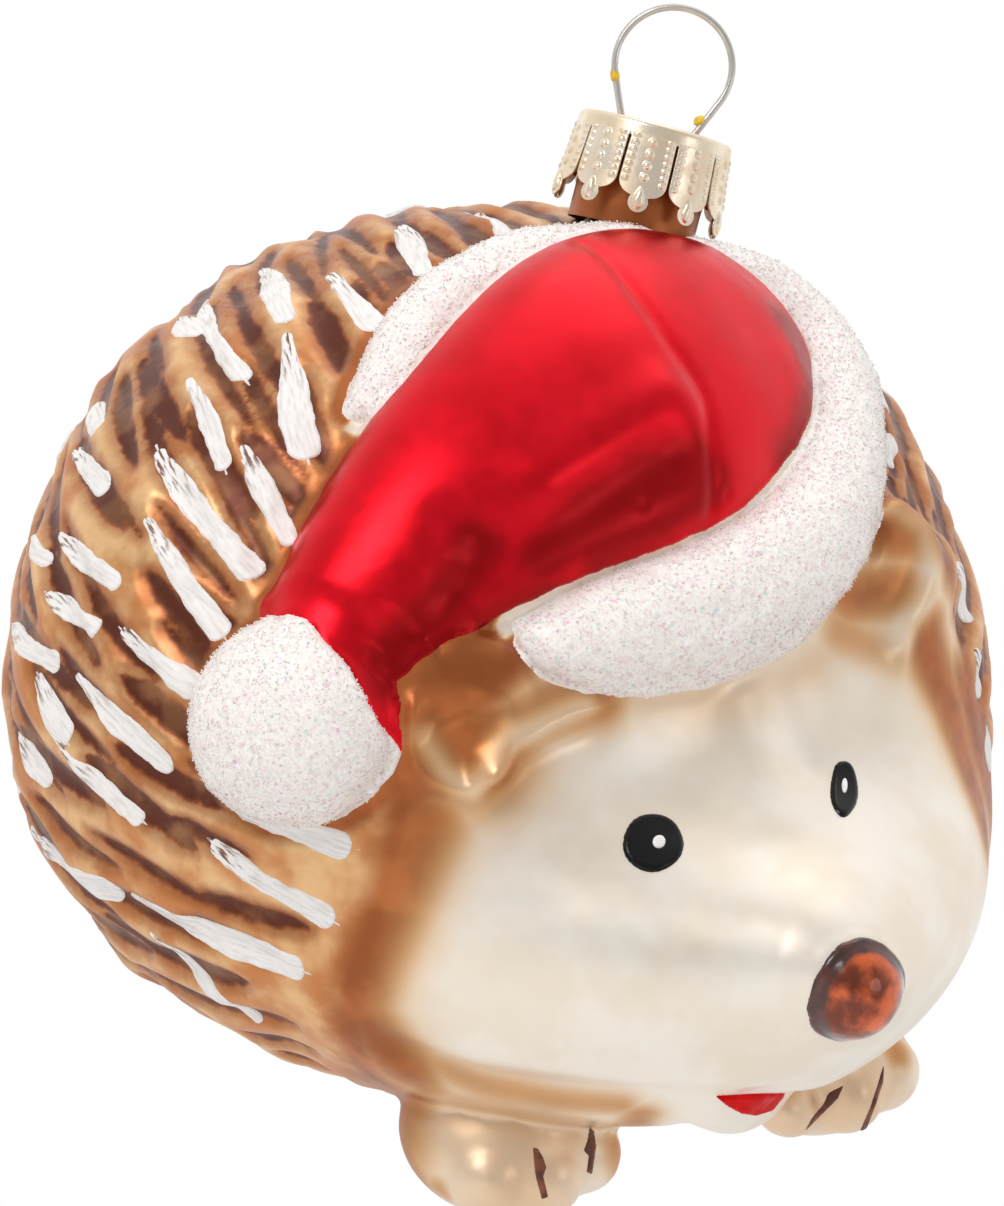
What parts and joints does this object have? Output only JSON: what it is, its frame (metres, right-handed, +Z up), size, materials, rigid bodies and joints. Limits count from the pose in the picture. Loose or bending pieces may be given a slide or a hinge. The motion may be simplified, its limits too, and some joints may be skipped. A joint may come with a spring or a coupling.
{
  "type": "hanging glass ornament",
  "caption": "Hollow blown-glass hedgehog with a drooping winter hat, hung by a spring wire ring from a slitted metal crown cap.",
  "frame": {"origin": "the hanging point: the inside of the top of the wire ring, on the axis of the neck", "axes": "+Z up along the neck and cap, +X to the right as the picture shows the figure, -Y towards the viewer"},
  "size_m": [0.0856, 0.084, 0.1015],
  "materials": {
    "silvered_glass": "satin silvered blown glass, cream face and tan quills airbrushed over it",
    "red_lacquer": "glossy transparent red lacquer over silver",
    "white_glitter": "white glue and fine glass glitter, rough and sparkling",
    "brown_enamel": "glossy dark brown enamel",
    "black_enamel": "glossy black enamel",
    "white_enamel": "white enamel dots",
    "red_enamel": "glossy red enamel",
    "claw_paint": "thin translucent brown brush strokes",
    "white_paint": "white brush strokes with bristle streaks",
    "gilt_sheet": "pale gold thin sheet, embossed",
    "spring_wire": "bright drawn spring wire"
  },
  "bodies": {
    "hanger": {"hanger_ring": "spring_wire"},
    "cap": {"cap": "gilt_sheet"},
    "figure": {"glass_shell": "silvered_glass", "hat_lacquer": "red_lacquer", "brim_glitter": "white_glitter", "pompom_glitter": "white_glitter", "nose_enamel": "brown_enamel", "eye_right": "black_enamel", "eye_left": "black_enamel", "eye_glints": "white_enamel", "tongue_enamel": "red_enamel", "claw_strokes": "claw_paint", "quill_strokes": "white_paint"}
  },
  "joints": [
    {"name": "cap_tilt", "type": "hinge", "parent": "hanger", "child": "cap", "pos_m": [0, 0, -0.01018], "axis": [1, 0, 0], "range_deg": [-10, 10]},
    {"name": "figure_pull_off", "type": "slide", "parent": "cap", "child": "figure", "axis": [0, 0, 1], "range_m": [-0.028, 0]}
  ]
}
